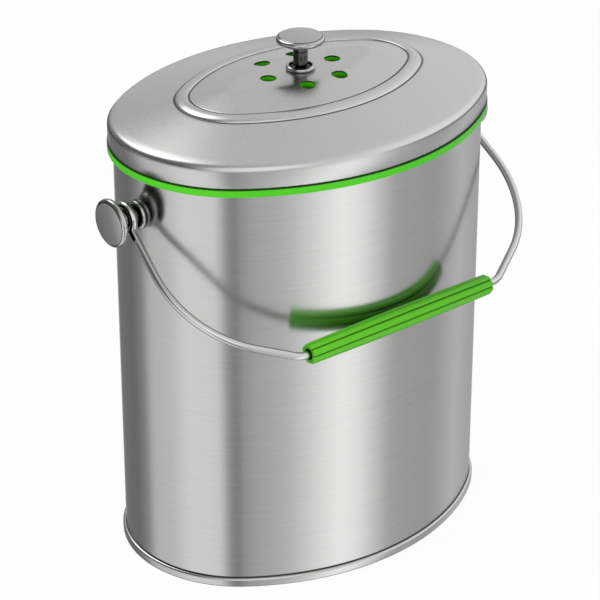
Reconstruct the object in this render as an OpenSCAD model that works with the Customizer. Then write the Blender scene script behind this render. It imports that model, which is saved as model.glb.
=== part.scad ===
// Oval stainless steel compost caddy with a domed lift-off lid and a bail handle.
// Units are millimetres. +Z is up, +Y points to the back, and the bail hangs on the front.
// The origin is on the floor, under the middle of the oval body.
// Every oval is a four-centre oval: two end arcs and two side arcs that share their centres,
// so a profile drawn against the body's outline sweeps round it with true surfaces.
// The centres stand on a 3-4-5 triangle, which the body's width and depth alone set the size of.

/* [Body] */
// Width of the body's oval, from side to side
body_w = 208; // [190:1:240]
// Depth of the body's oval, from front to back
body_d = 152.8; // [144:0.4:166]
// Height of the body's rolled rim above the floor
body_h = 227; // [190:1:260]
// Thickness of the body's sheet
wall_t = 0.8; // [0.6:0.1:1.2]
// Diameter of the bead rolled along the top edge
rim_d = 2.6; // [2.2:0.1:3]
// Height of the seamed rim at the foot
foot_h = 5.2; // [3:0.1:6]
// How far the seamed rim stands out from the wall
foot_out = 1.6; // [1:0.1:2.4]
// Height of the recessed bottom above the floor
base_lift = 7; // [6:0.1:9]

/* [Lid] */
// Thickness of the lid's sheet
lid_t = 0.7; // [0.5:0.1:1]
// How far the lid's skirt stands out from the body wall
skirt_out = 2.5; // [2.3:0.1:2.8]
// Height of the straight part of the skirt
skirt_h = 8.3; // [6:0.1:12]
// Radius of the rounded shoulder above the skirt
shoulder_r = 4; // [3:0.1:5]
// Rise of the dome from its edge to its middle
dome_rise = 13.4; // [8:0.1:18]
// Power that shapes the dome, higher is steeper at the edge
dome_power = 1.1; // [1:0.05:2]
// Radius of the flat crown in the middle of the dome
crown_r = 4; // [3:0.5:8]
// Distance from the body's outline in to the outer line of the pressed bead
bead_in = 31.8; // [26:0.1:36]
// Width of the pressed bead
bead_w = 6.5; // [4:0.1:9]
// Height of the pressed bead above the dome
bead_h = 1.2; // [0.6:0.1:1.8]
// Diameter of each vent hole
vent_d = 8.5; // [6:0.1:9.5]
// Radius of the circle of vent holes
vent_ring_r = 21; // [18:0.5:24]
// Number of vent holes
vent_count = 6; // [4:1:8]

/* [Liner] */
// Height of the green lip that shows under the skirt
lip_h = 3.9; // [3:0.1:5]
// How far the green lip stands out from the body wall
lip_out = 2.9; // [2.8:0.1:3.2]
// Thickness of the lip
lip_t = 1.6; // [1.2:0.1:1.6]
// Thickness of the liner's plastic
liner_t = 1.5; // [1.2:0.1:2]
// Depth of the plug wall that drops inside the body
plug_h = 8.2; // [5:0.1:12]
// Inner radius of the filter well
well_r = 36.4; // [34:0.2:37]
// Height of the filter well's wall
well_h = 9; // [8:0.1:12]

/* [Filter] */
// Number of slots through the filter cover
slot_count = 12; // [8:1:16]
// Width of each slot
slot_w = 4; // [2:0.1:5]
// Height of the bar that the filter cover is turned by
turn_bar_h = 7; // [5:0.5:12]

/* [Knob and pivot studs] */
// Diameter of the knob's disc
knob_d = 25; // [22:0.5:27]
// Height of the knob from its seat to its face
knob_h = 18; // [16:0.1:22]
// Thickness of the knob's disc
disc_t = 3.6; // [3:0.1:4.5]
// Narrowest diameter of the knob's neck
neck_d = 7.5; // [7:0.1:9]
// Outer diameter of the dished collar under the knob
collar_d = 15.2; // [14:0.1:17]
// Height of the dished collar
collar_h = 2.3; // [2:0.1:3]
// Diameter of the stud's journal that the bail turns on
journal_d = 9.4; // [8.6:0.1:10]
// Distance from the body's rim down to the pivot studs' axis
pivot_drop = 23; // [20:1:50]
// Diameter of the screws
screw_d = 4; // [3:0.5:4]

/* [Bail] */
// Diameter of the bail's wire
wire_d = 4; // [3:0.1:4.4]
// Play between the stud's journal and the bail's eye
eye_play = 0.3; // [0.2:0.05:0.5]
// Gap between each collar and the bail's eye, with the bail in the middle
eye_gap = 2; // [1.8:0.1:3]
// How far the bail has slid to the left on its studs
bail_slide = 1.5; // [0:0.1:1.5]
// Distance from the pivot axis to the middle of the grip
bail_reach = 101; // [96:0.5:110]
// Angle by which the bail's legs lean outwards
leg_lean = 5; // [2:0.5:8]
// Radius of the long bend next to the leg
shoulder_bend_r = 58; // [45:1:64]
// Length of the straight stretch between the two bends
link_len = 20; // [12:1:24]
// Radius of the short bend next to the grip
grip_bend_r = 14; // [10:1:20]
// Angle of the short bend next to the grip
grip_bend = 32; // [28:1:40]

/* [Grip] */
// Length of the grip
grip_len = 120; // [90:1:120]
// How far the grip rests to the left of the middle of its wire
grip_slide = 1.3; // [0:0.1:1.3]
// Diameter of the grip at its middle
grip_d = 11.4; // [10:0.1:13]
// Diameter of the grip at its ends
grip_end_d = 10.4; // [9:0.1:11]
// Number of grooves along the grip
groove_count = 8; // [6:1:10]
// Depth of the grooves at the middle of the grip
groove_depth = 0.9; // [0.5:0.1:1.2]

/* [Hidden] */
$fn = 96;

// Clearances
seat_gap = 0.25;        // lid over the rolled rim
side_gap = 0.4;         // liner inside the skirt, and lip round the rolled rim
seam_gap = 0.35;        // dark line between the skirt and the green lip
dome_gap = 0.3;         // liner under the dome
bore_gap = 0.05;        // screws and shafts in their holes
loose_gap = 0.3;        // parts that move past each other
rest_gap = 0.3;         // grip in front of the body

// Four-centre oval of the body's outline
half_w = body_w / 2;
half_d = body_d / 2;
oval_unit = (half_w - half_d) / 2;
end_c = 3 * oval_unit;
side_c = 4 * oval_unit;
lens_r = 5 * oval_unit;
end_r = half_w - end_c;
side_r = half_d + side_c;

// Heights of the lid
web_z = body_h + seat_gap;
lip_top = web_z + liner_t;
lip_bottom = lip_top - lip_h;
skirt_z = lip_top + seam_gap;
skirt_step = 0.4;
shoulder_z = skirt_z + skirt_h;
shoulder_o = skirt_out - shoulder_r;
dome_run = end_r - crown_r;
crown_in = end_r - crown_r / 4;
join_slope = atan(dome_rise * dome_power / dome_run);
lid_top = shoulder_z + shoulder_r * cos(join_slope) + dome_rise;
bead_mid = bead_in + bead_w / 2;
dome_steps = 6;
arc_steps = 6;
blend = 2;              // run from the shoulder's arc to the dome's first point
bead_foot = 0.5;        // run from the dome to the foot of the pressed bead
past = 1;               // how far a cutter runs past what it cuts
root = 0.2;             // how deep a tab or hook is rooted in its wall

// Filter well and its cover
well_t = 1.6;
well_top = lid_top - lid_t - dome_gap - 4.7;
well_bottom = well_top - well_h;
tab_count = 3;
tab_reach = 1.5;
tab_t = 1.2;
tab_angle = 30;
hook_angle = 26;
cover_t = 1.6;
cover_turn_gap = 0.2;
cover_z = well_bottom - loose_gap;
filter_r = well_r - side_gap;
slot_in = 14;
slot_len = filter_r - slot_in - 3;
turn_bar_len = 54;
turn_bar_t = 3;

// Hardware
pivot_z = body_h - pivot_drop;
collar_hole_d = neck_d + 2.1;
collar_round = 1.1;
foot_taper = 0.6;
neck_taper = 1;
cove_r = 2.4;
cove_h = 1.6;
disc_z = knob_h - disc_t;
rim_round = 1.5;
rim_r = knob_d / 2 - rim_round;
face_step = 0.25;
foot_d = collar_hole_d - 2 * bore_gap;
bore_d = screw_d + 2 * bore_gap;
hole_d = screw_d + 0.3;
head_d = 7.6;
head_h = 2.5;
washer_d = 9;
stud_washer_d = 11;
washer_t = 0.8;
screw_in = 10;
seat_dip = pow(stud_washer_d / 2, 2) / (2 * (end_r - wall_t)) + bore_gap;
washer_x = half_w - wall_t - seat_dip;

// Bail
eye_r = journal_d / 2 + eye_play + wire_d / 2;
eye_x = half_w + collar_h + eye_gap + wire_d / 2;
rest_lean = asin((half_d + grip_d / 2 + rest_gap) / bail_reach);
leg_turn = 90 + leg_lean;
shoulder_bend = leg_turn - grip_bend;
bends_v = grip_bend_r * (1 - cos(grip_bend)) + link_len * sin(grip_bend)
    + shoulder_bend_r * (cos(grip_bend) - cos(leg_turn));
bends_u = grip_bend_r * sin(grip_bend) + link_len * cos(grip_bend)
    + shoulder_bend_r * (sin(leg_turn) - sin(grip_bend));
leg_len = (bail_reach - bends_v) / cos(leg_lean);
grip_run = eye_x + leg_len * sin(leg_lean) - bends_u;
straight_d = wire_d + 0.04;     // a hair thicker, so its skin never grazes a bend's
lap = 0.4;
grip_bore_d = straight_d + 2 * bore_gap;
grip_mouth_d = wire_d + 1.8;
grip_mouth_len = 6;
grip_round = 0.8;
grip_swell = 0.4;
groove_w = 0.8;

// Height of the dome's outer surface at a distance in from the body's outline
function dome_z(t) = lid_top - dome_rise * pow(max(0, 1 - t / dome_run), dome_power);

// Points [offset, height] of the dome between two distances in, lowered by drop
function dome_points(t0, t1, drop) = [
    for (i = [0 : dome_steps])
        let (t = t0 + (t1 - t0) * i / dome_steps)
        [-t, dome_z(t) - drop]
];

// Points of the rounded shoulder at radius r, from the skirt up to the dome
function shoulder_points(r) = [
    for (i = [0 : arc_steps])
        let (a = (90 - join_slope) * i / arc_steps)
        [shoulder_o + r * cos(a), shoulder_z + r * sin(a)]
];

// Points of the pressed bead, an arch over the dome
function bead_points(half, drop) = [
    for (i = [0 : arc_steps])
        let (a = 180 * i / arc_steps, t = bead_mid - half * cos(a))
        [-t, dome_z(t) - drop + bead_h * sin(a)]
];

function reversed(list) = [for (i = [len(list) - 1 : -1 : 0]) list[i]];

// Sweeps a profile, drawn as [offset outwards, height], round the oval: each arc is a full turn
// cut by a wedge, and neighbouring wedges share one plane through both arcs' centres
module sweep() {
    for (side = [0, 1]) {
        mirror([side, 0, 0])
            translate([end_c, 0, 0])
                intersection() {
                    rotate_extrude()
                        translate([end_r, 0])
                            children();
                    wedge([[0, 0], [3, -4], [6, -4], [6, 4], [3, 4]]);
                }
        mirror([0, side, 0])
            translate([0, -side_c, 0])
                intersection() {
                    rotate_extrude()
                        translate([side_r, 0])
                            children();
                    wedge([[0, 0], [3, 4], [-3, 4]]);
                }
    }
}

module wedge(corners) {
    translate([0, 0, -1])
        linear_extrude(height = 2 * body_h)
            polygon(corners * body_w / 4);
}

// The flat middle that closes a sweep, where two wide circles cross
module lens(z0, z1) {
    intersection() {
        translate([0, -side_c, z0])
            cylinder(r = lens_r + crown_r / 2, h = z1 - z0);
        translate([0, side_c, z0])
            cylinder(r = lens_r + crown_r / 2, h = z1 - z0);
    }
}

// Wall of one sheet, from the seamed foot up to its rolled rim
module body_wall() {
    color("silver")
        difference() {
            sweep() {
                translate([-wall_t, foot_h])
                    square([wall_t, body_h - rim_d / 2 - foot_h]);
                translate([-wall_t / 2, body_h - rim_d / 2])
                    circle(d = rim_d);
            }
            rotate([0, 90, 0])
                translate([-pivot_z, 0, -body_w])
                    cylinder(d = hole_d, h = 2 * body_w);
        }
}

// Recessed bottom, seamed round the foot of the wall
module base_pan() {
    corner = foot_h / 4;
    color("silver") {
        sweep()
            polygon([
                [-2 * wall_t, base_lift + wall_t],
                [-crown_in, base_lift + wall_t],
                [-crown_in, base_lift],
                [-2 * wall_t, base_lift],
                [-2 * wall_t, corner],
                [-2 * wall_t + corner, 0],
                [foot_out - corner, 0],
                [foot_out, corner],
                [foot_out, foot_h - corner],
                [foot_out - corner, foot_h],
                [-wall_t, foot_h],
                [-wall_t, base_lift + wall_t]
            ]);
        lens(base_lift, base_lift + wall_t);
    }
}

// Domed lid sheet with its shoulder, skirt, pressed bead and vents
module lid_shell() {
    bead_half = bead_w / 2;
    edge_t = -shoulder_o - shoulder_r * sin(join_slope);
    color("silver")
        difference() {
            union() {
                sweep()
                    polygon(concat(
                        [[skirt_out, skirt_z]],
                        shoulder_points(shoulder_r),
                        dome_points(edge_t + blend, bead_in - bead_foot, 0),
                        bead_points(bead_half, 0),
                        dome_points(bead_in + bead_w + bead_foot, dome_run, 0),
                        [[-crown_in, lid_top], [-crown_in, lid_top - lid_t]],
                        reversed(dome_points(bead_in + bead_w + bead_foot, dome_run, lid_t)),
                        reversed(bead_points(bead_half - lid_t, lid_t)),
                        reversed(dome_points(edge_t + blend, bead_in - bead_foot, lid_t)),
                        reversed(shoulder_points(shoulder_r - lid_t)),
                        [[skirt_out - lid_t, skirt_z]]
                    ));
                lens(lid_top - lid_t, lid_top);
            }
            vent_holes(lid_top - dome_rise, lid_top + past);
            cylinder(d = hole_d, h = lid_top + past);
        }
}

// The ring of vents between two heights
module vent_holes(z0, z1) {
    for (i = [0 : vent_count - 1])
        rotate([0, 0, 360 * i / vent_count])
            translate([vent_ring_r, 0, z0])
                cylinder(d = vent_d, h = z1 - z0);
}

// The ceiling of the filter well, trimmed to end inside the liner's domed deck
module well_ceiling() {
    drop = lid_t + dome_gap + liner_t / 2;
    outer_t = half_d - well_r - well_t - 2;
    intersection() {
        translate([0, 0, well_top])
            cylinder(r = well_r + well_t, h = dome_rise);
        union() {
            sweep()
                polygon(concat(
                    [[-outer_t, web_z]],
                    dome_points(outer_t, dome_run, drop),
                    [[-crown_in, lid_top - drop], [-crown_in, web_z]]
                ));
            lens(web_z, lid_top - drop);
        }
    }
}

// One-piece plastic liner: lip, plug wall, deck and filter well
module lid_liner() {
    drop = lid_t + dome_gap;
    wall_r = shoulder_r - lid_t - side_gap;
    edge_t = -shoulder_o - wall_r * sin(join_slope);
    inner_t = edge_t + liner_t;
    plug_o = -(wall_t + rim_d) / 2 - side_gap;
    color("limegreen")
        difference() {
            union() {
                sweep()
                    polygon(concat(
                        [
                            [lip_out, lip_bottom],
                            [lip_out, lip_top],
                            [lip_out - 2 * skirt_step, lip_top],
                            [lip_out - 2 * skirt_step, skirt_z],
                            [shoulder_o + wall_r, skirt_z]
                        ],
                        shoulder_points(wall_r),
                        dome_points(edge_t + blend, dome_run, drop),
                        [[-crown_in, lid_top - drop], [-crown_in, lid_top - drop - liner_t]],
                        reversed(dome_points(inner_t + blend, dome_run, drop + liner_t)),
                        reversed(shoulder_points(wall_r - liner_t)),
                        [
                            [shoulder_o + wall_r - liner_t, lip_top],
                            [plug_o - liner_t, lip_top],
                            [plug_o - liner_t, web_z - plug_h],
                            [plug_o, web_z - plug_h],
                            [plug_o, web_z],
                            [lip_out - lip_t, web_z],
                            [lip_out - lip_t, lip_bottom]
                        ]
                    ));
                lens(lid_top - drop - liner_t, lid_top - drop);
                well_ceiling();
                well_wall();
            }
            vent_holes(well_top - past, lid_top + past);
            cylinder(d = hole_d, h = lid_top + past);
            translate([0, 0, well_top - past])
                cylinder(d = washer_d + 2 * loose_gap, h = past + head_h + washer_t);
        }
}

// Ring wall of the filter well, with the tabs that hold the cover
module well_wall() {
    translate([0, 0, well_bottom])
        difference() {
            cylinder(r = well_r + well_t, h = well_h + liner_t / 2);
            translate([0, 0, -past])
                cylinder(r = well_r, h = well_h + liner_t + past);
        }
    for (i = [0 : tab_count - 1])
        rotate([0, 0, 360 * i / tab_count - tab_angle / 2])
            rotate_extrude(angle = tab_angle)
                translate([well_r + well_t - root, well_bottom + tab_t])
                    square([tab_reach + root, tab_t]);
}

// Round charcoal filter in the well
module filter_pad() {
    color("dimgray")
        translate([0, 0, well_bottom])
            cylinder(r = filter_r, h = well_h - loose_gap);
}

// Turn-lock cover: slotted plate, skirt with hooks over the tabs, and a bar to turn it by
module filter_cover() {
    skirt_r = well_r + well_t + tab_reach + loose_gap;
    hook_z = well_bottom + 2 * tab_t + cover_turn_gap;
    color("limegreen") {
        difference() {
            translate([0, 0, cover_z - cover_t])
                cylinder(r = skirt_r + liner_t, h = cover_t);
            for (i = [0 : slot_count - 1])
                rotate([0, 0, 360 * (i + 0.5) / slot_count])
                    translate([slot_in, -slot_w / 2, cover_z - cover_t - past])
                        cube([slot_len, slot_w, cover_t + 2 * past]);
        }
        translate([0, 0, cover_z])
            difference() {
                cylinder(r = skirt_r + liner_t, h = hook_z + tab_t - cover_z);
                translate([0, 0, -past])
                    cylinder(r = skirt_r, h = hook_z + tab_t - cover_z + 2 * past);
            }
        for (i = [0 : tab_count - 1])
            rotate([0, 0, 360 * i / tab_count - hook_angle / 2])
                rotate_extrude(angle = hook_angle)
                    translate([skirt_r - tab_reach, hook_z])
                        square([tab_reach + root, tab_t]);
        translate([-turn_bar_len / 2, -turn_bar_t / 2, cover_z - cover_t - turn_bar_h])
            cube([turn_bar_len, turn_bar_t, turn_bar_h]);
    }
}

// Profile of a turned knob, standing on z = 0. Above the collar its shaft has radius shaft_r up
// to shaft_top, then it necks in and flares out through a cove to the disc.
function knob_profile(shaft_r, shaft_top) = concat(
    [[0, 0], [foot_d / 2, 0], [foot_d / 2, collar_h - foot_taper]],
    [[shaft_r, collar_h], [shaft_r, shaft_top], [neck_d / 2, shaft_top + neck_taper]],
    [for (a = [0 : 30 : 90]) [neck_d / 2 + cove_r * (1 - cos(a)), disc_z - cove_h * (1 - sin(a))]],
    [for (a = [-90 : 30 : 60]) [rim_r + rim_round * cos(a), disc_z + disc_t / 2 + disc_t * 0.45 * sin(a)]],
    [[rim_r, knob_h - face_step], [rim_r - 2 * face_step, knob_h], [0, knob_h]]
);

module knob(shaft_r, shaft_top) {
    difference() {
        rotate_extrude()
            polygon(knob_profile(shaft_r, shaft_top));
        translate([0, 0, -past])
            cylinder(d = bore_d, h = past + screw_in + loose_gap);
    }
}

// Dished washer with a rounded rim, standing on z = 0
module collar() {
    middle = collar_d / 2 - collar_round;
    floor_t = 0.6;
    rotate_extrude()
        polygon(concat(
            [[collar_hole_d / 2, floor_t], [collar_hole_d / 2, 0]],
            [for (a = [-90 : 30 : 90])
                [middle + collar_round * cos(a), collar_h / 2 * (1 + sin(a))]],
            [[middle - collar_round, floor_t]]
        ));
}

module washer(outer) {
    difference() {
        cylinder(d = outer, h = washer_t);
        translate([0, 0, -past])
            cylinder(d = bore_d, h = washer_t + 2 * past);
    }
}

// Pan-head screw pointing up, its washer face on z = 0, with a cross recess
module screw(len) {
    cross = head_d * 0.6;
    cross_w = head_d / 8;
    edge = head_h * 0.4;
    cylinder(d = screw_d, h = len);
    difference() {
        rotate_extrude()
            polygon([
                [0, -head_h],
                [head_d / 2 - edge, -head_h],
                [head_d / 2, edge - head_h],
                [head_d / 2, 0],
                [0, 0]
            ]);
        for (a = [0, 90])
            rotate([0, 0, a])
                translate([-cross / 2, -cross_w / 2, -head_h - past])
                    cube([cross, cross_w, head_h / 2 + past]);
    }
}

// Puts a piece that stands on z = 0 against the end of the body, sticking outwards
module on_end(side, x) {
    mirror([side, 0, 0])
        translate([x, 0, pivot_z])
            rotate([0, 90, 0])
                children();
}

module stud(side) {
    color("gainsboro")
        on_end(side, half_w)
            knob(journal_d / 2, eye_x - half_w + wire_d / 2 + bail_slide);
}

module stud_collar(side) {
    color("gainsboro")
        on_end(side, half_w)
            collar();
}

module stud_washer(side) {
    color("darkgray")
        on_end(side, washer_x - washer_t)
            washer(stud_washer_d);
}

module stud_screw(side) {
    color("darkgray")
        on_end(side, washer_x - washer_t)
            screw(screw_in + seat_dip + wall_t + washer_t);
}

module lid_knob() {
    color("gainsboro")
        translate([0, 0, lid_top])
            knob(neck_d / 2, knob_h / 2);
}

module knob_collar() {
    color("gainsboro")
        translate([0, 0, lid_top])
            collar();
}

module knob_washer() {
    color("darkgray")
        translate([0, 0, well_top + head_h])
            washer(washer_d);
}

module knob_screw() {
    color("darkgray")
        translate([0, 0, well_top + head_h])
            screw(lid_top - well_top - head_h + screw_in);
}

// A straight stretch of wire along +Z that laps over the bends at both ends
module straight(len) {
    translate([0, 0, -lap])
        cylinder(d = straight_d, h = len + 2 * lap);
}

// A bend that starts at the origin along +X and turns towards +Y
module bend(r, angle) {
    translate([0, r, 0])
        rotate_extrude(angle = angle, start = -90)
            translate([r, 0])
                circle(d = wire_d);
}

// One half of the bail in its own plane, with the grip along +X and the pivot at the origin
module half_bail() {
    link_u = grip_run + grip_bend_r * sin(grip_bend);
    link_v = bail_reach - grip_bend_r * (1 - cos(grip_bend));
    bend_u = link_u + link_len * cos(grip_bend);
    bend_v = link_v - link_len * sin(grip_bend);
    leg_start = eye_r + wire_d / 5;
    translate([grip_run, -bail_reach, 0])
        bend(grip_bend_r, grip_bend);
    translate([link_u, -link_v, 0])
        rotate([0, 90, grip_bend])
            straight(link_len);
    translate([bend_u, -bend_v, 0])
        rotate([0, 0, grip_bend])
            bend(shoulder_bend_r, shoulder_bend);
    translate([eye_x, 0, 0])
        rotate([90, 0, leg_lean])
            translate([0, 0, leg_start])
                cylinder(d = straight_d, h = leg_len + lap - leg_start);
    translate([eye_x, 0, 0])
        rotate([0, 90, 0])
            rotate_extrude()
                translate([eye_r, 0])
                    circle(d = wire_d);
}

// Puts the bail's plane where it hangs on the front of the body
module hang() {
    translate([-bail_slide, 0, pivot_z])
        rotate([90 - rest_lean, 0, 0])
            children();
}

module bail_wire() {
    color("gainsboro")
        hang() {
            translate([-grip_run, -bail_reach, 0])
                rotate([0, 90, 0])
                    straight(2 * grip_run);
            for (side = [0, 1])
                mirror([side, 0, 0])
                    half_bail();
        }
}

// Grooved plastic tube on the straight part of the bail
module bail_grip() {
    half_len = grip_len / 2;
    swell_d = (grip_d + grip_end_d) / 2 + grip_swell;
    half = [
        [grip_bore_d / 2, half_len - grip_mouth_len],
        [grip_mouth_d / 2, half_len - grip_mouth_len + grip_round],
        [grip_mouth_d / 2, half_len],
        [grip_end_d / 2 - grip_round, half_len],
        [grip_end_d / 2, half_len - grip_round],
        [swell_d / 2, half_len / 2],
        [grip_d / 2, half_len / 6]
    ];
    color("limegreen")
        hang()
            translate([-grip_slide, -bail_reach, 0])
                rotate([0, 90, 0])
                    difference() {
                        rotate_extrude()
                            polygon(concat(half, reversed([for (p = half) [p[0], -p[1]]])));
                        for (i = [0 : groove_count - 1])
                            rotate([0, 0, 360 * (i + 0.5) / groove_count])
                                translate([grip_d / 2 - groove_depth, -groove_w / 2, -half_len - past])
                                    cube([grip_d, groove_w, grip_len + 2 * past]);
                    }
}

body_wall();
base_pan();
stud(1);  // stud_left
stud(0);  // stud_right
stud_collar(1);  // stud_collar_left
stud_collar(0);  // stud_collar_right
stud_washer(1);  // stud_washer_left
stud_washer(0);  // stud_washer_right
stud_screw(1);  // stud_screw_left
stud_screw(0);  // stud_screw_right
lid_shell();
lid_liner();
lid_knob();
knob_collar();
knob_screw();
knob_washer();
filter_pad();
filter_cover();
bail_wire();
bail_grip();
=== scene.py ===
"""Looks of an oval stainless compost caddy, piece by piece in the order it is put together."""
from math import asin, atan, cos, degrees, pi, radians, sin

import bmesh
import bpy
from mathutils import Matrix, Vector


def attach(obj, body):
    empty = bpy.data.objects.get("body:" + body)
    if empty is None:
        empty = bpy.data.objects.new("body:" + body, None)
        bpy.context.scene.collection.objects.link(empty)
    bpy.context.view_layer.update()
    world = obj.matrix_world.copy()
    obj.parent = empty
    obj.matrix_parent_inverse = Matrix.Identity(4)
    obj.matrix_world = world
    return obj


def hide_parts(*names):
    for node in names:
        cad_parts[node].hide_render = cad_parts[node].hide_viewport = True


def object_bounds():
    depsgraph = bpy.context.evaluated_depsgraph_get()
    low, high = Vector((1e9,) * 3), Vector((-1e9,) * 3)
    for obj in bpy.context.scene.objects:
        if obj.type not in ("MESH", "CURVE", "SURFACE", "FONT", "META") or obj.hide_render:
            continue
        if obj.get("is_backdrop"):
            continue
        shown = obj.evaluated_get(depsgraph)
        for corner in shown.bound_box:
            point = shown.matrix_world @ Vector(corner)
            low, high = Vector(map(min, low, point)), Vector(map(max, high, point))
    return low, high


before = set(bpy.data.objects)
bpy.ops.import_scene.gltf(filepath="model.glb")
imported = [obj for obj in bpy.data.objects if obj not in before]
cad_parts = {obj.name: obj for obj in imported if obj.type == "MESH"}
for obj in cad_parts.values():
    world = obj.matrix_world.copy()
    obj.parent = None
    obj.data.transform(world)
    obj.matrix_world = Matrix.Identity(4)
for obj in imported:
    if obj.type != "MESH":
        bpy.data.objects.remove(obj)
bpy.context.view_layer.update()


# Foot rim and recessed bottom: one stainless pressing, rolled over the foot of the wall
# and seamed tight. The seam shows as a polished bead that the caddy stands on.
MM = 0.001
HALF_W = 104.0
HALF_D = 76.4
OVAL_UNIT = (HALF_W - HALF_D) / 2
END_C, SIDE_C = 3 * OVAL_UNIT, 4 * OVAL_UNIT
END_R = HALF_W - END_C
END_ANGLE = atan(SIDE_C / END_C)
CROWN_IN = END_R - 1.0
ARC_STEP = 2.0


def arc(cx, cz, r, start, end, steps):
    """Points of an arc in a profile, angles in degrees."""
    turns = [radians(start + (end - start) * i / steps) for i in range(steps + 1)]
    return [(cx + r * cos(turn), cz + r * sin(turn)) for turn in turns]


def chain(bm, points):
    """A row of joined vertices in the XZ plane, from millimetres. A third number in a point says
    how much painted shade darkens the crease there."""
    soil = bm.verts.layers.float.new("soil")
    verts = []
    for x, z, *dark in points:
        vert = bm.verts.new((x * MM, 0, z * MM))
        vert[soil] = dark[0] if dark else 0.0
        verts.append(vert)
    edges = [bm.edges.new(pair) for pair in zip(verts, verts[1:])]
    return verts, edges


def oval_sweep(outline, closed=False):
    """Carries an outline of (offset from the wall, height) round the four arcs of the oval."""
    bm = bmesh.new()
    verts, edges = chain(bm, [(HALF_W + o, *rest) for o, *rest in outline])
    if closed:
        edges.append(bm.edges.new((verts[-1], verts[0])))
    geom = verts + edges
    side_turn = pi - 2 * END_ANGLE
    for cx, cy, turn in (
        (END_C, 0, END_ANGLE),
        (0, -SIDE_C, side_turn),
        (-END_C, 0, 2 * END_ANGLE),
        (0, SIDE_C, side_turn),
        (END_C, 0, END_ANGLE),
    ):
        spun = bmesh.ops.spin(
            bm, geom=geom, cent=(cx * MM, cy * MM, 0), axis=(0, 0, 1), angle=turn,
            steps=max(2, round(degrees(turn) / ARC_STEP)), use_duplicate=False,
        )
        geom = spun["geom_last"]
    bmesh.ops.remove_doubles(bm, verts=bm.verts, dist=2e-6)
    if not closed:
        bmesh.ops.holes_fill(bm, edges=[e for e in bm.edges if e.is_boundary], sides=0)
    bmesh.ops.recalc_face_normals(bm, faces=bm.faces)
    return bm


def finish_piece(bm, name, material, body, slot, *nodes, sharp=40):
    """Turns a bmesh into a smooth piece that rides on its body and stands for its CAD nodes."""
    mesh = bpy.data.meshes.new(name)
    bm.to_mesh(mesh)
    bm.free()
    mesh.shade_smooth()
    mesh.set_sharp_from_angle(angle=radians(sharp))
    mesh.materials.append(material)
    piece = bpy.data.objects.new(name, mesh)
    bpy.context.scene.collection.objects.link(piece)
    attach(piece, body)
    if nodes:
        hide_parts(*nodes)
    return piece


class Shade:
    """A shader socket, or a number, that can be worked with like a number."""

    tree = None

    def __init__(self, socket):
        self.socket = socket

    @classmethod
    def node(cls, kind, settings=None, output=0, **inputs):
        made = cls.tree.nodes.new("ShaderNode" + kind)
        for key, value in (settings or {}).items():
            if key == "stops":
                ramp = made.color_ramp
                while len(ramp.elements) < len(value):
                    ramp.elements.new(0.5)
                for element, (place, colour) in zip(ramp.elements, value):
                    element.position = place
                    element.color = (*colour, 1)
            else:
                setattr(made, key, value)
        for key, value in inputs.items():
            name = int(key[1:]) if key[0] == "_" else key.replace("_", " ")
            if isinstance(value, Shade):
                cls.tree.links.new(value.socket, made.inputs[name])
            else:
                made.inputs[name].default_value = value
        return cls(made.outputs[output])

    def math(self, operation, *others):
        values = {f"_{i}": v for i, v in enumerate((self, *others))}
        return Shade.node("Math", {"operation": operation}, **values)

    def __add__(self, other):
        return self.math("ADD", other)

    def __sub__(self, other):
        return self.math("SUBTRACT", other)

    def __rsub__(self, other):
        return Shade.node("Math", {"operation": "SUBTRACT"}, _0=other, _1=self)

    def __mul__(self, other):
        return self.math("MULTIPLY", other)

    def __truediv__(self, other):
        return self.math("DIVIDE", other)

    __radd__ = __add__
    __rmul__ = __mul__

    def clamp(self, low=0.0, high=1.0):
        return Shade.node("Clamp", Value=self, Min=low, Max=high)

    def between(self, start, end, ease="LINEAR"):
        """0 at the start value and 1 at the end value."""
        return Shade.node(
            "MapRange", {"interpolation_type": ease}, Value=self, From_Min=start, From_Max=end,
        )

    def scaled(self, x, y, z):
        return Shade.node("VectorMath", {"operation": "MULTIPLY"}, _0=self, _1=(x, y, z))

    def noise(self, scale=1.0, detail=3.0, rough=0.55):
        return Shade.node("TexNoise", Vector=self, Scale=scale, Detail=detail, Roughness=rough)

    def mix(self, first, second):
        """Colour mix, with this value as the share of the second."""
        made = Shade.tree.nodes.new("ShaderNodeMix")
        made.data_type = "RGBA"
        Shade.tree.links.new(self.socket, made.inputs["Factor"])
        for name, value in (("A", first), ("B", second)):
            socket = next(s for s in made.inputs if s.name == name and s.type == "RGBA")
            if isinstance(value, Shade):
                Shade.tree.links.new(value.socket, socket)
            else:
                socket.default_value = (*value, 1)
        return Shade(next(s for s in made.outputs if s.type == "RGBA"))


def new_finish(name, **fixed):
    """A material whose Principled shader has these constant values."""
    material = bpy.data.materials.new(name)
    material.use_nodes = True
    Shade.tree = material.node_tree
    shader = material.node_tree.nodes["Principled BSDF"]
    for key, value in fixed.items():
        socket = shader.inputs[key.replace("_", " ")]
        socket.default_value = (*value, 1) if isinstance(value, tuple) else value
    place = Shade.node("TexCoord", output=3)
    return material, shader, place


def toned(colour, level):
    """A colour made lighter or darker as a whole."""
    return Shade.node("VectorMath", {"operation": "SCALE"}, _0=colour, Scale=level)


def with_crease_shade(colour, share=0.85):
    """Paints shade into a colour where the piece's vertices mark painted shade in its creases."""
    soil = Shade.node("Attribute", {"attribute_name": "soil"}, output=2).clamp()
    return toned(colour, 1 - share * soil)


def feed(shader, **varying):
    for key, value in varying.items():
        shader.id_data.links.new(value.socket, shader.inputs[key.replace("_", " ")])


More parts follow.
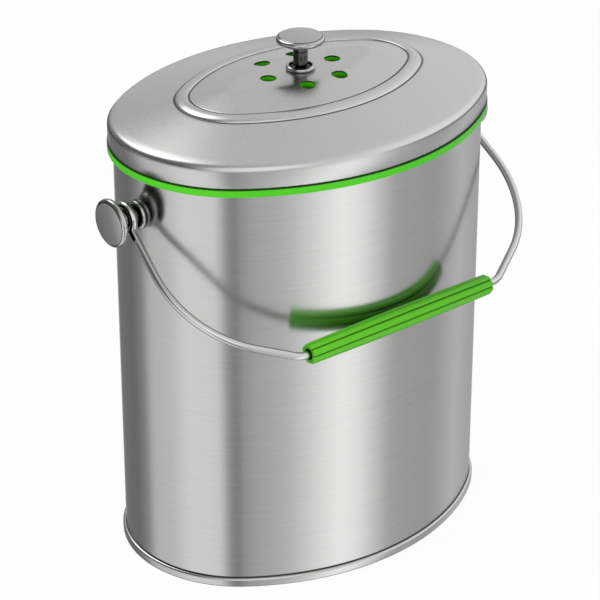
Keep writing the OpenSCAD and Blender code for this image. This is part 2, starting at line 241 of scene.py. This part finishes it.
def brushed_steel(name, lines, tone, rough, grain=0.06, depth=0.00001, drawn=0.0):
    """Stainless with fine brushing; lines is the noise frequency per metre along X, Y and Z,
    and drawn is how far the brushing smears a reflection up and down."""
    material, shader, place = new_finish(
        name, Metallic=1.0, Anisotropic=drawn, Anisotropic_Rotation=0.25,
    )
    strokes = place.scaled(*lines).noise(1.0, 4.0, 0.65)
    hair = place.scaled(*(2.7 * v for v in lines)).noise(1.0, 2.0, 0.5)
    patches = place.noise(9.0, 2.0)
    light = 1 + grain * (strokes - 0.5) + 0.5 * grain * (hair - 0.5) + 0.04 * (patches - 0.5)
    # The base colour carries painted shade in the piece's creases.
    feed(
        shader,
        Base_Color=with_crease_shade(toned(tone, light)),
        Roughness=rough + 0.10 * (strokes - 0.5) + 0.05 * (patches - 0.5),
        Normal=Shade.node("Bump", Strength=0.5, Distance=depth, Height=strokes + 0.6 * hair),
    )
    return material


wall_steel = brushed_steel(
    "brushed_wall_steel", (30, 30, 800), (0.62, 0.62, 0.615), 0.19, grain=0.13, drawn=0.4,
)
FOOT_H, BASE_LIFT, SHEET = 5.2, 7.0, 0.8
ROLL_OUT, ROLL_R, CURL_R = 0.35, 1.25, 1.1
under_roll = arc(ROLL_OUT, ROLL_R, ROLL_R, 0, -90, 6)
# The third numbers paint shade into the seam at the foot and under the rolled edge.
foot_outline = (
    [(-CROWN_IN, BASE_LIFT + SHEET), (-2 * SHEET, BASE_LIFT + SHEET), (-SHEET, BASE_LIFT + 0.5)]
    + [(-SHEET, FOOT_H), (0.0, FOOT_H, 0.9), (0.15, FOOT_H, 0.9)]
    + arc(ROLL_OUT, FOOT_H - ROLL_R, ROLL_R, 85, 0, 6)
    + [(x, z, min(1.0, i / 3)) for i, (x, z) in enumerate(under_roll)]
    + [(-0.5, 0)]
    + arc(-0.5, CURL_R, CURL_R, -90, -180, 5)
    + [(-2 * SHEET, BASE_LIFT), (-CROWN_IN, BASE_LIFT)]
)
finish_piece(
    oval_sweep(foot_outline), "foot_rim_and_bottom", wall_steel, "body", "body_steel", "base_pan",
)


# Wall: one stainless sheet bent round the oval and welded, brushed round its girth,
# with a bead rolled outwards along its top edge under the lid.
BODY_H, RIM_R = 227.0, 1.3
rim_z = BODY_H - RIM_R
# The third numbers paint shade into the seam where the wall meets the foot rim.
wall_outline = (
    [(-SHEET, FOOT_H), (0, FOOT_H, 0.9), (0, FOOT_H + 0.35, 0.9), (0, FOOT_H + 0.8)]
    + [(0, rim_z - RIM_R)]
    + arc(-SHEET / 2, rim_z, RIM_R, -60, 240, 16)
    + [(-SHEET, rim_z - RIM_R)]
)
finish_piece(
    oval_sweep(wall_outline, closed=True), "wall", wall_steel, "body", "body_steel", "body_wall",
)


# Pivot studs: turned from bar and polished, one on each end of the oval. Each has a flat disc
# with a bevelled edge, a waisted neck, and the journal that the bail's eye turns on.
def polished_steel(name, tone, rough):
    material, shader, place = new_finish(name, Metallic=1.0)
    turning = place.scaled(300, 300, 300).noise(1.0, 3.0)
    smears = place.noise(60.0, 3.0)
    # The base colour carries painted shade and painted dark reflection in the piece's creases.
    feed(
        shader,
        Base_Color=with_crease_shade(smears.mix(tone, tuple(0.93 * v for v in tone)), 0.95),
        Roughness=rough + 0.05 * (smears - 0.5) + 0.03 * (turning - 0.5),
        Normal=Shade.node("Bump", Strength=0.15, Distance=0.00001, Height=turning),
    )
    return material


stud_steel = polished_steel("polished_stud_steel", (0.58, 0.58, 0.575), 0.09)
PIVOT_Z = 204.0
KNOB_H, TURN_STEPS = 18.0, 72
JOURNAL_R, JOURNAL_END = 4.7, 9.8
NECK_R, NECK_END = 3.75, 9.0


def turned(points):
    """Turns a profile of (radius, height) once round the Z axis."""
    bm = bmesh.new()
    verts, edges = chain(bm, points)
    bmesh.ops.spin(
        bm, geom=verts + edges, cent=(0, 0, 0), axis=(0, 0, 1), angle=2 * pi,
        steps=TURN_STEPS, use_merge=True,
    )
    bmesh.ops.remove_doubles(bm, verts=bm.verts, dist=1e-6)
    bmesh.ops.recalc_face_normals(bm, faces=bm.faces)
    return bm


def knob_profile(shaft_r, shaft_top):
    """From the foot in the collar up the shaft and the neck and over the disc, in millimetres."""
    # The third numbers are painted shade and painted dark reflection on the journal, the neck, the
    # cove and the creases of the disc.
    cove_z = KNOB_H - 5.2
    return (
        [(0, 0), (JOURNAL_R, 0), (JOURNAL_R, 1.6, 1.0), (shaft_r, 2.3, 1.0), (shaft_r, 3.0, 0.75)]
        + [(shaft_r, shaft_top - 0.5, 0.6), (shaft_r, shaft_top, 0.6)]
        + [(NECK_R, shaft_top + 1.0, 0.9), (NECK_R, shaft_top + 1.8, 0.5), (NECK_R, cove_z, 0.5)]
        + [(r, z, 0.5 + i / 10) for i, (r, z) in enumerate(arc(6.15, cove_z, 2.4, 165, 90, 5))]
        + [(9.6, KNOB_H - 3.1, 1.0), (10.6, KNOB_H - 3.3, 1.0), (11.2, KNOB_H - 3.4, 0.4)]
        + arc(11.35, KNOB_H - 2.3, 1.15, -75, 0, 5)
        + [(12.5, KNOB_H - 1.7), (12.35, KNOB_H - 1.1, 0.2), (12.0, KNOB_H - 0.7, 0.0)]
        + [(11.45, KNOB_H - 0.35, 0.0), (11.3, KNOB_H - 0.3, 0.95), (11.05, KNOB_H - 0.25, 0.95)]
        + [(10.9, KNOB_H - 0.05, 0.3), (10.6, KNOB_H), (0, KNOB_H)]
    )


def on_end(bm, side):
    """Stands a turned piece on the end of the body, side +1 right or -1 left."""
    turn = Matrix.Rotation(side * pi / 2, 4, "Y")
    bm.transform(Matrix.Translation((side * HALF_W * MM, 0, PIVOT_Z * MM)) @ turn)
    return bm


for side, end in ((1, "right"), (-1, "left")):
    finish_piece(
        on_end(turned(knob_profile(JOURNAL_R, JOURNAL_END)), side), f"pivot_{end}",
        stud_steel, "body", "polished_steel", f"stud_{end}", sharp=50,
    )


# Collars: dished washers with a rounded rim, pressed from the same steel, that keep
# the bail's eye off the wall. The hollow round the stud's foot is darkened with painted shade and
# painted dark reflection.
collar_outline = (
    [(4.8, 0), (6.2, 0, 1.0), (6.6, 0.03, 0.8)]
    + arc(6.5, 1.1, 1.1, -70, 90, 9)
    + [(6.1, 2.05, 0.6), (5.9, 2.0, 1.0), (5.5, 0.8, 1.0), (4.8, 0.6, 1.0), (4.8, 0)]
)
for side, end in ((1, "right"), (-1, "left")):
    finish_piece(
        on_end(turned(collar_outline), side), f"collar_{end}",
        stud_steel, "body", "polished_steel", f"stud_collar_{end}", sharp=50,
    )


# Fixings inside the wall: a plain washer and a pan-head screw into each stud, and the same
# under the knob. They are zinc plated and only seen with the lid off.
def coat(material, *nodes):
    """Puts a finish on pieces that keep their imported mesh."""
    for name in nodes:
        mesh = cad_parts[name].data
        mesh.materials.clear()
        mesh.materials.append(material)


zinc, shader, place = new_finish("zinc_plate", Metallic=1.0)
spangle = place.noise(500.0, 3.0)
feed(
    shader,
    Base_Color=spangle.mix((0.46, 0.47, 0.49), (0.60, 0.60, 0.61)),
    Roughness=0.32 + 0.12 * (spangle - 0.5),
)
coat(
    zinc, "stud_washer_left", "stud_washer_right", "stud_screw_left", "stud_screw_right",
    "knob_screw", "knob_washer",
)


# Lid: one stainless pressing with a straight skirt, a rounded shoulder, a shallow dome and a
# raised oval bead. Six vents are punched round the knob. It is polished, then finely brushed.
LID_T, SKIRT_OUT, SHOULDER_R = 0.7, 2.5, 4.0
SKIRT_Z, SHOULDER_Z = 229.1, 237.4
DOME_RISE, DOME_POWER, DOME_RUN = 13.4, 1.1, END_R - 4.0
JOIN = atan(DOME_RISE * DOME_POWER / DOME_RUN)
LID_TOP = SHOULDER_Z + SHOULDER_R * cos(JOIN) + DOME_RISE
BEAD_IN, BEAD_W, BEAD_H = 31.8, 6.5, 1.2


def dome_z(t):
    """Height of the dome's outside at t millimetres in from the wall."""
    return LID_TOP - DOME_RISE * max(0.0, 1 - t / DOME_RUN) ** DOME_POWER


def dome(t0, t1, drop, steps):
    return [(-t, dome_z(t) - drop) for t in (t0 + (t1 - t0) * i / steps for i in range(steps + 1))]


def bead(half, drop, steps=14):
    """The arch of the raised bead; half is half its width, drop its depth below the outside."""
    middle = BEAD_IN + BEAD_W / 2
    points = []
    for i in range(steps + 1):
        t = middle - half * cos(pi * i / steps)
        points.append((-t, dome_z(t) - drop + BEAD_H * sin(pi * i / steps)))
    return points


shoulder_o = SKIRT_OUT - SHOULDER_R
edge_t = -shoulder_o - SHOULDER_R * sin(JOIN)
join_deg = 90 - degrees(JOIN)
BEAD_OUT = BEAD_IN + BEAD_W
# The 1.0 marks paint shade in thin dark lines along both feet of the raised bead.
lid_outline = (
    dome(BEAD_OUT + 1.1, DOME_RUN, 0, 16)[::-1]
    + [(*point, 1.0) for point in dome(BEAD_OUT + 0.1, BEAD_OUT + 0.8, 0.05, 1)[::-1]]
    + bead(BEAD_W / 2, 0)[::-1]
    + [(*point, 1.0) for point in dome(BEAD_IN - 0.8, BEAD_IN - 0.1, 0.05, 1)[::-1]]
    + dome(edge_t + 1.5, BEAD_IN - 1.1, 0, 18)[::-1]
    + arc(shoulder_o, SHOULDER_Z, SHOULDER_R, join_deg, 0, 12)
    + [(SKIRT_OUT, SKIRT_Z + 0.25), (SKIRT_OUT - 0.15, SKIRT_Z)]
    + [(SKIRT_OUT - LID_T + 0.1, SKIRT_Z), (SKIRT_OUT - LID_T, SKIRT_Z + 0.2)]
    + arc(shoulder_o, SHOULDER_Z, SHOULDER_R - LID_T, 0, join_deg, 8)
    + dome(edge_t + 1.5, BEAD_IN - 0.4, LID_T, 14)
    + bead(BEAD_W / 2 - LID_T, LID_T)
    + dome(BEAD_OUT + 0.4, DOME_RUN, LID_T, 12)
)
lid_outline = [(-CROWN_IN, LID_TOP)] + lid_outline + [(-CROWN_IN, LID_TOP - LID_T)]
lid_steel = brushed_steel(
    "satin_lid_steel", (60, 900, 900), (0.65, 0.65, 0.645), 0.26, grain=0.04, depth=0.000005,
)
lid_piece = finish_piece(
    oval_sweep(lid_outline), "lid_sheet", lid_steel, "lid", "lid_steel", "lid_shell",
)


def punched(piece, holes, name):
    """Cuts upright round holes, each (x, y, radius) in millimetres, through a piece."""
    bm = bmesh.new()
    for x, y, r in holes:
        bmesh.ops.create_cone(
            bm, cap_ends=True, segments=48, radius1=r * MM, radius2=r * MM, depth=60 * MM,
            matrix=Matrix.Translation((x * MM, y * MM, LID_TOP * MM)),
        )
    mesh = bpy.data.meshes.new(name)
    bm.to_mesh(mesh)
    bm.free()
    punch = bpy.data.objects.new(name, mesh)
    bpy.context.scene.collection.objects.link(punch)
    cut = piece.modifiers.new("punch", "BOOLEAN")
    cut.object = punch
    cut.solver = "EXACT"
    as_cut = piece.evaluated_get(bpy.context.evaluated_depsgraph_get())
    done = bpy.data.meshes.new_from_object(as_cut)
    piece.modifiers.clear()
    piece.data = done
    piece.data.set_sharp_from_angle(angle=radians(40))
    bpy.data.objects.remove(punch)


VENTS, VENT_RING_R, VENT_R, SCREW_HOLE_R = 6, 21, 4.25, 2.15
vents = [
    (VENT_RING_R * cos(turn), VENT_RING_R * sin(turn), VENT_R)
    for turn in (2 * pi * k / VENTS for k in range(VENTS))
]
punched(lid_piece, vents + [(0, 0, SCREW_HOLE_R)], "vent_punch")


# Liner: one green moulding snapped under the lid. Its lip is the green ring below the skirt,
# and its thick ceiling is what shows inside the vents.
def moulded_green(name, tone, rough, shadow_band=None):
    """Green plastic with a faint mottle. The last argument gives the height in millimetres, low
    and high, of a band of painted shadow under the steel skirt; a piece given one also gets
    painted shade on its ceiling, which shows inside the vents."""
    material, shader, place = new_finish(name, IOR=1.46, Specular_IOR_Level=0.35)
    cloud = place.noise(25.0, 3.0)
    fine = place.noise(1400.0, 2.0)
    # The colour carries painted shade in the piece's creases.
    colour = with_crease_shade(cloud.mix(tuple(0.94 * v for v in tone), tuple(1.05 * v for v in tone)), 0.8)
    if shadow_band:
        height = Shade.node("SeparateXYZ", output=2, Vector=place)
        low, high = shadow_band
        fade = 0.2
        above = height.between(low * MM, (low + fade) * MM)
        below = height.between((high + fade) * MM, high * MM)
        in_vent = height.between(240 * MM, 244 * MM)
        low_in_vent = height.between(253.2 * MM, 250.8 * MM)
        # Painted shadow darkens the band under the skirt, and painted shade darkens the ceiling
        # seen inside the vents.
        colour = toned(colour, 1 - 0.88 * above * below - in_vent * (0.2 + 0.55 * low_in_vent))
    feed(
        shader,
        Base_Color=colour,
        Roughness=rough + 0.08 * (cloud - 0.5),
        Normal=Shade.node("Bump", Strength=0.2, Distance=0.00003, Height=fine),
    )
    return material


ring_green = moulded_green(
    "moulded_ring_green", (0.064, 0.54, 0.005), 0.34, shadow_band=(228.15, 229.6),
)
coat(ring_green, "lid_liner", "filter_cover")


# Filter: a round pad of charcoal felt in the liner's well, under the vents.
felt, shader, place = new_finish("charcoal_felt")
fibres = place.scaled(900, 900, 300).noise(1.0, 5.0, 0.7)
feed(
    shader,
    Base_Color=fibres.mix((0.006, 0.006, 0.007), (0.03, 0.03, 0.032)),
    Roughness=0.85 + 0.1 * (fibres - 0.5),
    Normal=Shade.node("Bump", Strength=0.8, Distance=0.0004, Height=fibres),
)
coat(felt, "filter_pad")


# Knob: the same turned and polished mushroom as the studs, standing in the same collar,
# screwed through the middle of the lid.
def on_lid(bm):
    bm.transform(Matrix.Translation((0, 0, LID_TOP * MM)))
    return bm


finish_piece(
    on_lid(turned(knob_profile(NECK_R, NECK_END))), "knob",
    stud_steel, "lid", "polished_steel", "lid_knob", sharp=50,
)
finish_piece(
    on_lid(turned(collar_outline)), "knob_seat",
    stud_steel, "lid", "polished_steel", "knob_collar", sharp=50,
)


# Bail: one length of 4 mm stainless wire, bent into a hoop with a closed eye at each end.
# It hangs on the studs, slid a little to the left, and rests against the front of the body.
WIRE_R, WIRE_SIDES = 2.0, 28
EYE_X, EYE_R, REACH, SLID = 110.3, 7.0, 101.0, -1.5
GRIP_R, REST_GAP = 5.7, 0.3
LEAN = asin((HALF_D + GRIP_R + REST_GAP) / REACH)
LEG_LEAN, GRIP_BEND = radians(5), radians(32)
R_GRIP, R_SHOULDER, LINK = 14.0, 58.0, 20.0
bends_up = (
    R_GRIP * (1 - cos(GRIP_BEND)) + LINK * sin(GRIP_BEND)
    + R_SHOULDER * (cos(GRIP_BEND) + sin(LEG_LEAN))
)
bends_out = (
    R_GRIP * sin(GRIP_BEND) + LINK * cos(GRIP_BEND)
    + R_SHOULDER * (cos(LEG_LEAN) - sin(GRIP_BEND))
)
LEG = (REACH - bends_up) / cos(LEG_LEAN)
GRIP_RUN = EYE_X + LEG * sin(LEG_LEAN) - bends_out


def wire_ring(bm, matrix):
    """A ring of edges as thick as the wire, with its vertices first."""
    made = bmesh.ops.create_circle(bm, segments=WIRE_SIDES, radius=WIRE_R * MM, matrix=matrix)
    verts = made["verts"]
    ring = set(verts)
    return verts + [e for e in bm.edges if set(e.verts) <= ring]


def drawn_out(bm, edges):
    """Extrudes a ring of edges and gives back the vertices and the edges of the new ring."""
    made = bmesh.ops.extrude_edge_only(bm, edges=edges)["geom"]
    verts = [g for g in made if isinstance(g, bmesh.types.BMVert)]
    ring = set(verts)
    return verts, [g for g in made if isinstance(g, bmesh.types.BMEdge) and set(g.verts) <= ring]


class BentWire:
    """A round wire drawn out and bent in its own plane, x sideways and y up."""

    def __init__(self, bm, at, heading):
        self.bm, self.at, self.heading = bm, Vector(at), heading
        across_wire = Matrix.Rotation(heading, 4, "Z") @ Matrix.Rotation(pi / 2, 4, "Y")
        self.geom = wire_ring(bm, Matrix.Translation(self.at * MM) @ across_wire)

    def ends(self):
        return [g for g in self.geom if isinstance(g, bmesh.types.BMEdge)]

    def run(self, length):
        step = Vector((cos(self.heading), sin(self.heading), 0)) * length
        verts, edges = drawn_out(self.bm, self.ends())
        bmesh.ops.translate(self.bm, verts=verts, vec=step * MM)
        self.geom = verts + edges
        self.at += step

    def bend(self, radius, angle):
        left = Vector((-sin(self.heading), cos(self.heading), 0))
        centre = self.at + left * radius
        made = bmesh.ops.spin(
            self.bm, geom=self.geom, cent=centre * MM, axis=(0, 0, 1), angle=angle,
            steps=max(4, round(degrees(angle) / 2.5)),
        )
        self.geom = made["geom_last"]
        self.at = centre + Matrix.Rotation(angle, 3, "Z") @ (self.at - centre)
        self.heading += angle


bail_bm = bmesh.new()
half = BentWire(bail_bm, (0, -REACH, 0), 0.0)
half.run(GRIP_RUN)
half.bend(R_GRIP, GRIP_BEND)
half.run(LINK)
half.bend(R_SHOULDER, pi / 2 + LEG_LEAN - GRIP_BEND)
half.run(LEG - EYE_R - 0.5)
bmesh.ops.holes_fill(bail_bm, edges=half.ends(), sides=0)
bmesh.ops.spin(
    bail_bm, geom=wire_ring(bail_bm, Matrix.Translation((EYE_X * MM, -EYE_R * MM, 0))),
    cent=(EYE_X * MM, 0, 0), axis=(1, 0, 0), angle=2 * pi, steps=64, use_merge=True,
)
one_half = bail_bm.verts[:] + bail_bm.edges[:] + bail_bm.faces[:]
bmesh.ops.mirror(bail_bm, geom=one_half, axis="X", merge_dist=1e-6)
bmesh.ops.remove_doubles(bail_bm, verts=bail_bm.verts, dist=1e-6)
bmesh.ops.recalc_face_normals(bail_bm, faces=bail_bm.faces)
hang = Matrix.Translation((SLID * MM, 0, PIVOT_Z * MM)) @ Matrix.Rotation(pi / 2 - LEAN, 4, "X")
bail_bm.transform(hang)
wire_steel = polished_steel("polished_wire_steel", (0.70, 0.70, 0.695), 0.07)
finish_piece(bail_bm, "bail", wire_steel, "bail", "wire_steel", "bail_wire", sharp=50)


# Grip: a green plastic tube with eight lengthwise grooves, a little thicker in the middle,
# loose on the straight part of the wire and bell-mouthed at both ends.
GRIP_LEN, GROOVES, GROOVE_SIDES, GRIP_SLID = 120.0, 8, 12, -1.3
LOBE_R, END_SIZE = 5.2, 0.92
grip_bm = bmesh.new()
soil = grip_bm.verts.layers.float.new("soil")
circle = bmesh.ops.create_circle(
    grip_bm, segments=GROOVES * GROOVE_SIDES, radius=LOBE_R * MM,
)
first = sorted(circle["verts"], key=lambda v: v.co.xy.angle_signed(Vector((1, 0))))
for k, v in enumerate(first):
    near = min(k % GROOVE_SIDES, GROOVE_SIDES - k % GROOVE_SIDES)
    v.co *= {0: 0.84, 1: 0.955}.get(near, 1.0 + 0.012 * min(near - 2, 3))
    # Groove bottoms and their sides get painted shade.
    v[soil] = {0: 1.0, 1: 0.35}.get(near, 0.0)
bmesh.ops.translate(grip_bm, verts=first, vec=(0, 0, -GRIP_LEN / 2 * MM))
bmesh.ops.scale(grip_bm, verts=first, vec=(END_SIZE, END_SIZE, 1))
left_end = right_end = grip_bm.edges[:]
size_now, z_now = END_SIZE, -GRIP_LEN / 2
stations = [
    (-59.2, 0.99), (-40, 1.034), (-20, 1.073), (0, 1.083), (20, 1.073), (40, 1.034),
    (59.2, 0.99), (GRIP_LEN / 2, END_SIZE),
]
for z, size in stations:
    verts, right_end = drawn_out(grip_bm, right_end)
    bmesh.ops.translate(grip_bm, verts=verts, vec=(0, 0, (z - z_now) * MM))
    bmesh.ops.scale(grip_bm, verts=verts, vec=(size / size_now, size / size_now, 1))
    size_now, z_now = size, z
bores = []
for loop, way in ((left_end, 1), (right_end, -1)):
    for radius, depth in ((3.0, 0.0), (2.8, 0.3), (2.8, 5.0), (2.07, 6.0)):
        verts, loop = drawn_out(grip_bm, loop)
        for v in verts:
            flat = Vector((v.co.x, v.co.y, 0)).normalized() * radius * MM
            v.co = Vector((flat.x, flat.y, way * (-GRIP_LEN / 2 + depth) * MM))
            # Painted shade darkens the bell mouth and the bore inside it.
            v[soil] = 1.0 if depth else 0.6
    bores += loop
bmesh.ops.bridge_loops(grip_bm, edges=bores)
bmesh.ops.recalc_face_normals(grip_bm, faces=grip_bm.faces)
on_wire = Matrix.Translation((GRIP_SLID * MM, -REACH * MM, 0)) @ Matrix.Rotation(pi / 2, 4, "Y")
grip_bm.transform(hang @ on_wire)
grip_green = moulded_green("moulded_grip_green", (0.098, 0.48, 0.012), 0.38)
finish_piece(grip_bm, "grip", grip_green, "grip", "grip_plastic", "bail_grip", sharp=32)


# Floor, room and lamps: a white paper floor in a plain white room. Only reflections show the
# rest: upright soft panels round the lower half of the room, a grey ceiling that is lighter on
# the right, a window above on the left and a glow round the camera.
FLOOR_HALF, FLOOR_GAP, FLOOR_GLOW = 4.0, 0.0002, 0.93
bm = bmesh.new()
bmesh.ops.create_grid(bm, x_segments=1, y_segments=1, size=FLOOR_HALF)
floor_mesh = bpy.data.meshes.new("floor")
bm.to_mesh(floor_mesh)
bm.free()
floor = bpy.data.objects.new("floor", floor_mesh)
floor.location = (0, 0, -FLOOR_GAP)
floor.visible_glossy = False
bpy.context.scene.collection.objects.link(floor)
floor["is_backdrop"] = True
paper = bpy.data.materials.new("white_paper")
paper.use_nodes = True
Shade.tree = paper.node_tree
paper.node_tree.nodes.remove(paper.node_tree.nodes["Principled BSDF"])
matte = Shade.node("BsdfDiffuse", Color=(0.92, 0.92, 0.92, 1))
glow = Shade.node("Emission", Color=(1, 1, 1, 1), Strength=1.0)
shown = Shade.node("MixShader", _0=Shade.node("LightPath") * FLOOR_GLOW, _1=matte, _2=glow)
paper.node_tree.links.new(shown.socket, paper.node_tree.nodes["Material Output"].inputs["Surface"])
floor_mesh.materials.append(paper)

AZIMUTH, ELEVATION = radians(-39.5), radians(27.2546)
RIGHT = Vector((cos(AZIMUTH), sin(AZIMUTH), 0))
NEAR = Vector((sin(AZIMUTH), -cos(AZIMUTH), 0))
world = bpy.data.worlds.new("room")
bpy.context.scene.world = world
world.use_nodes = True
Shade.tree = world.node_tree
way = Shade.node("TexCoord")


def along(direction):
    """How far the looked-at direction goes along this one, from -1 to 1."""
    return Shade.node(
        "VectorMath", {"operation": "DOT_PRODUCT"}, output=1, _0=way, _1=tuple(direction),
    )


def grey_stops(*stops):
    return {"stops": [(place, (v, v, v)) for place, v in stops]}


CAMERA_GLOW, WINDOW_LEVEL, AGAIN_DIM, EVEN_GREY = 0.6, 2.0, 0.45, 0.58
across, towards, up = along(RIGHT), along(NEAR), along((0, 0, 1))
turn = Shade.node("Math", {"operation": "ARCTAN2"}, _0=across, _1=towards) / (2 * pi) + 0.5
panels = Shade.node(
    "ValToRGB",
    grey_stops(
        (0.0, 0.80), (0.03, 0.72), (0.055, 0.22), (0.17, 0.20), (0.215, 0.34), (0.245, 0.70),
        (0.31, 0.76), (0.36, 0.98), (0.445, 0.95), (0.475, 0.38), (0.495, 0.28), (0.525, 0.55),
        (0.565, 0.66), (0.64, 1.32), (0.665, 1.22), (0.72, 0.52), (0.80, 0.46), (0.86, 0.66),
        (0.90, 0.52), (0.95, 0.42), (0.975, 0.72), (1.0, 0.80),
    ),
    Fac=turn,
)
ceiling = (0.54 + 0.55 * across - 0.12 * towards).clamp(0.12, 1.2)
high = up.between(-0.10, 0.12, "SMOOTHSTEP")
off_skirting = (up + 0.17).math("ABSOLUTE").between(0.04, 0.12, "SMOOTHSTEP")
behind = towards.between(0.6, -0.4, "SMOOTHSTEP")
back = NEAR * cos(ELEVATION) + Vector((0, 0, sin(ELEVATION)))
round_camera = along(back).between(0.80, 0.95, "SMOOTHSTEP")
window_way = RIGHT * -0.50 + NEAR * -0.42 + Vector((0, 0, 0.757))
window = along(window_way).between(0.90, 0.98, "SMOOTHSTEP")
level = panels * (1 - high) + ceiling * high
level = level * (1 - (0.25 + 0.65 * behind) * (1 - off_skirting))
level = level + CAMERA_GLOW * round_camera + WINDOW_LEVEL * window
paths = Shade.node("LightPath")
diffuse_ray, diffuse_depth, glossy_depth = (
    Shade(paths.socket.node.outputs[name])
    for name in ("Is Diffuse Ray", "Diffuse Depth", "Glossy Depth")
)
again = (glossy_depth + diffuse_depth - 1).clamp()
level = level * (1 - AGAIN_DIM * again)
level = level * (1 - diffuse_ray) + EVEN_GREY * diffuse_ray
room = world.node_tree.nodes["Background"]
room.inputs["Color"].default_value = (1, 1, 1, 1)
world.node_tree.links.new((paths + (1 - paths) * level).socket, room.inputs["Strength"])


AIM, BOX_SIZE = (0, 0, 0.15), 0.6


def soft_box(name, place, power):
    """A square lamp turned towards the middle of the caddy and not mirrored in the steel."""
    light = bpy.data.lights.new(name, "AREA")
    light.size, light.energy = BOX_SIZE, power
    lamp = bpy.data.objects.new(name, light)
    lamp.location = place
    lamp.visible_glossy = False
    lamp.rotation_mode = "QUATERNION"
    lamp.rotation_quaternion = (Vector(AIM) - Vector(place)).to_track_quat("-Z", "Y")
    bpy.context.scene.collection.objects.link(lamp)


soft_box("box_left", RIGHT * -1.25 + NEAR * 0.35 + Vector((0, 0, 1.35)), 12)
soft_box("box_front", RIGHT * 0.5 + NEAR * 1.6 + Vector((0, 0, 1.2)), 14)

LENS, SENSOR, DISTANCE = 153.52, 36.0, 1.3601
LOOK_AT = RIGHT * -0.00023 + Vector((0, 0, 0.1223))
camera = bpy.data.cameras.new("camera")
camera.lens, camera.sensor_width = LENS, SENSOR
camera.clip_start, camera.clip_end = 0.05, 20
eye_point = bpy.data.objects.new("camera", camera)
eye_point.location = LOOK_AT + back * DISTANCE
eye_point.rotation_mode = "QUATERNION"
eye_point.rotation_quaternion = (-back).to_track_quat("-Z", "Y")
bpy.context.scene.collection.objects.link(eye_point)
bpy.context.scene.camera = eye_point
bpy.context.scene.view_settings.view_transform = "Standard"

low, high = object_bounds()
